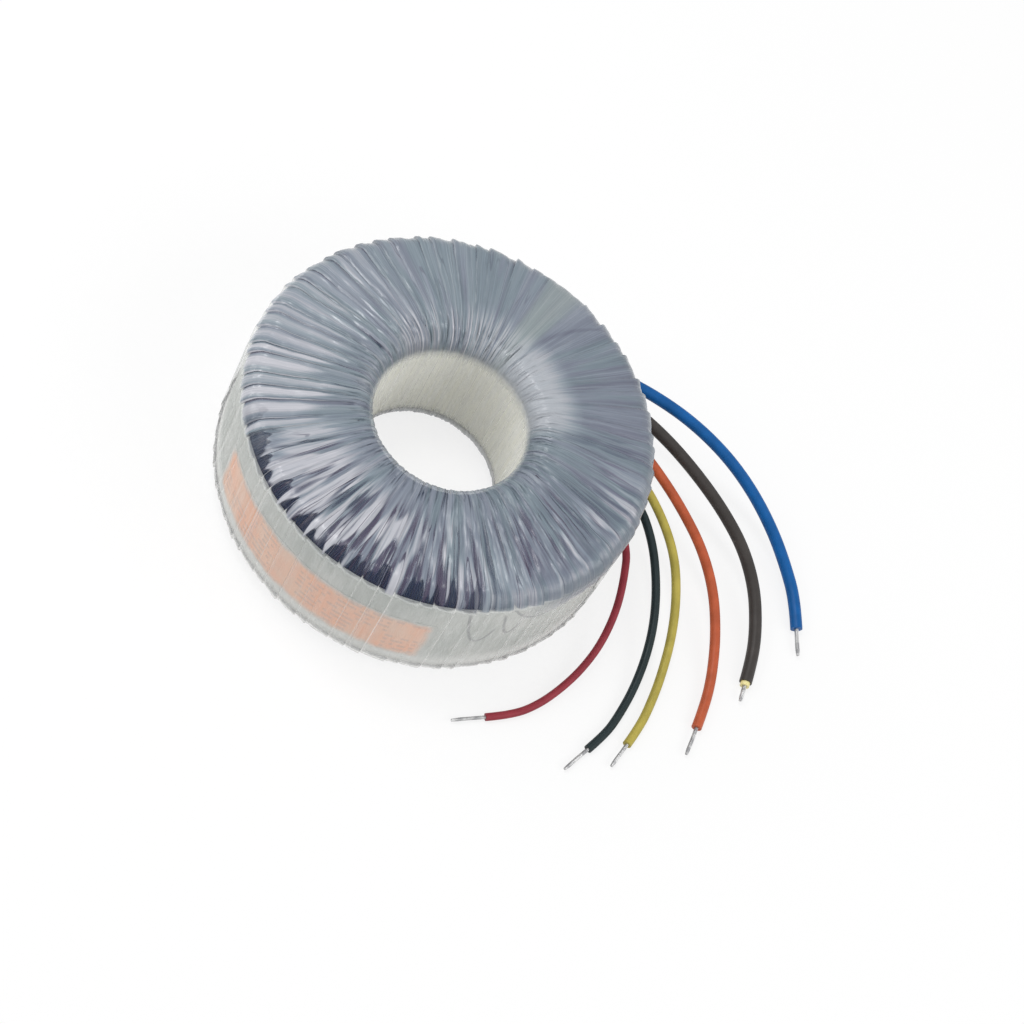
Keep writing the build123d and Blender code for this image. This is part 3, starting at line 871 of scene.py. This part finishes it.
def labelFinish(sketch):                                  # blank paper with faint generic rows of dashes
    looks = labelLooks
    place = sketch.place()
    x, y, z = sketch.parted(place)
    angle = y.angleOver(x)
    tape, cloth = tapeTint(sketch, place, angle, z)
    aside = awayFrom(angle, looks["centre"])
    ragged = (sketch.noise(place, 260.0, 2.0) - 0.5) * looks["ragged"]
    inward = ((radians(looks["half"]) - abs(aside)) * tapeRadius + ragged).ramp(0.0, looks["fade"])
    inward = inward * (z + ragged - looks["low"]).ramp(0.0, looks["fade"])
    inward = inward * (looks["high"] - z + ragged).ramp(0.0, looks["fade"])
    cloudy = sketch.noise(place, 110.0, 3.0).ramp(0.35, 0.65)
    paper = sketch.mixed(cloudy, looks["first"], looks["last"])
    row = z / looks["rowPitch"]
    along = aside * tapeRadius
    dash = sketch.chance((along / looks["dashLength"]).floor() + row.floor() * 37.0) > 0.35
    block = sketch.chance((along / looks["blockLength"]).floor() * 5.0 + (row * 0.34).floor()) > 0.40
    printed = (row % 1.0 < looks["rowShare"]) * dash * block * looks["printShare"]
    return {
        "Base Color": sketch.mixed(inward, tape, sketch.mixed(printed, paper, looks["print"])),
        "Roughness": 0.5,
        "Normal": sketch.bump(cloth, 0.0002),
    }


def plainFinish(name, first, last, scale, roughness, metallic=0.0):
    def draw(sketch):
        cloudy = sketch.noise(sketch.place(), scale, 3.0)
        return {
            "Base Color": sketch.mixed(cloudy.ramp(0.3, 0.7), first, last),
            "Roughness": cloudy.between(roughness - 0.08, roughness + 0.08),
            "Metallic": metallic,
            "Normal": sketch.bump(cloudy, 0.0001),
        }
    return makeFinish(name, draw)


def dress(node, finish):
    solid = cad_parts[node]
    solid.data.materials.clear()
    solid.data.materials.append(finish)


steel = plainFinish("steelStrip", (0.42, 0.43, 0.45), (0.55, 0.55, 0.56), 300.0, 0.35, 1.0)
capPlastic = plainFinish("capMoulding", (0.80, 0.80, 0.76), (0.72, 0.72, 0.68), 150.0, 0.45)
wound = plainFinish("woundWire", (0.02, 0.016, 0.03), (0.05, 0.02, 0.03), 500.0, 0.35)
insulation = plainFinish("insulatingFilm", (0.75, 0.74, 0.60), (0.66, 0.65, 0.52), 200.0, 0.4)
solder = plainFinish("solderedJoint", (0.55, 0.55, 0.56), (0.40, 0.40, 0.42), 900.0, 0.35, 1.0)
innerSleeve = plainFinish("innerSleeve", (0.80, 0.70, 0.26), (0.88, 0.80, 0.40), 700.0, 0.4)
finishes = {
    "core": steel,
    "core_cap_upper": capPlastic,
    "core_cap_lower": capPlastic,
    "primary_winding": wound,
    "interwinding_wrap": insulation,
    "secondary_inner_winding": wound,
    "side_band": makeFinish("paleTape", tapeFinish),
    "bore_liner": makeFinish("creamSleeve", sleeveFinish),
    "label": makeFinish("labelPaper", labelFinish),
    "brown_lead_sleeve": innerSleeve,
}
for leadName in leads:
    finishes[leadName + "_splice"] = solder
for nodeName, finish in finishes.items():
    dress(nodeName, finish)
print("solids dressed:", len(finishes))


# floor, background and lamps

studio = {
    "floorSize": 6.0, "floorDrop": 0.00005, "floorShown": 0.80, "skyLevel": 0.50,
    "lampTarget": (0, 0, 0.02),
}

lamps = {
    "overheadBox": {"place": (-0.28, 0.10, 0.90), "size": (0.24, 0.24), "power": 2.6},
    "leftBox": {"place": (-0.71, -0.08, 0.56), "size": (0.80, 0.50), "power": 2.8},
    "rightBox": {"place": (0.71, -0.12, 0.56), "size": (0.80, 0.50), "power": 2.8},
}


def makeFloor():
    half = studio["floorSize"] / 2
    corners = [(-half, -half), (half, -half), (half, half), (-half, half)]
    mesh = bpy.data.meshes.new("floor")
    mesh.from_pydata([(x, y, -studio["floorDrop"]) for x, y in corners], [], [(0, 1, 2, 3)])
    floor = bpy.data.objects.new("floor", mesh)
    scene.collection.objects.link(floor)
    material = bpy.data.materials.new("paleFloor")
    material.use_nodes = True
    sketch = Sketch(material.node_tree)
    sketch.tree.nodes.clear()
    paper = sketch.add("ShaderNodeBsdfDiffuse", None, {"Color": (0.90, 0.90, 0.90, 1)})
    glow = sketch.add("ShaderNodeEmission", None, {"Color": (1, 1, 1, 1), "Strength": 1.0})
    both = sketch.add("ShaderNodeMixShader", None, {
        0: sketch.seenDirectly() * studio["floorShown"], 1: paper, 2: glow})
    sketch.add("ShaderNodeOutputMaterial", None, {"Surface": both})
    mesh.materials.append(material)


def makeSky():
    world = bpy.data.worlds.new("studio")
    scene.world = world
    world.use_nodes = True
    sketch = Sketch(world.node_tree)
    sketch.tree.nodes.clear()
    sky = sketch.add("ShaderNodeBackground", None, {
        "Color": (1, 1, 1, 1), "Strength": sketch.seenDirectly().between(studio["skyLevel"], 1.0)})
    sketch.add("ShaderNodeOutputWorld", None, {"Surface": sky})


def makeLamp(name, place, size, power):
    lamp = bpy.data.objects.new(name, bpy.data.lights.new(name, "AREA"))
    lamp.data.shape = "RECTANGLE"
    lamp.data.size, lamp.data.size_y = size
    lamp.data.energy = power
    lamp.location = place
    lamp.rotation_euler = (Vector(studio["lampTarget"]) - Vector(place)).to_track_quat("-Z", "Y").to_euler()
    scene.collection.objects.link(lamp)


makeFloor()
makeSky()
for lampName, lampFacts in lamps.items():
    makeLamp(lampName, **lampFacts)
print("studio lit")
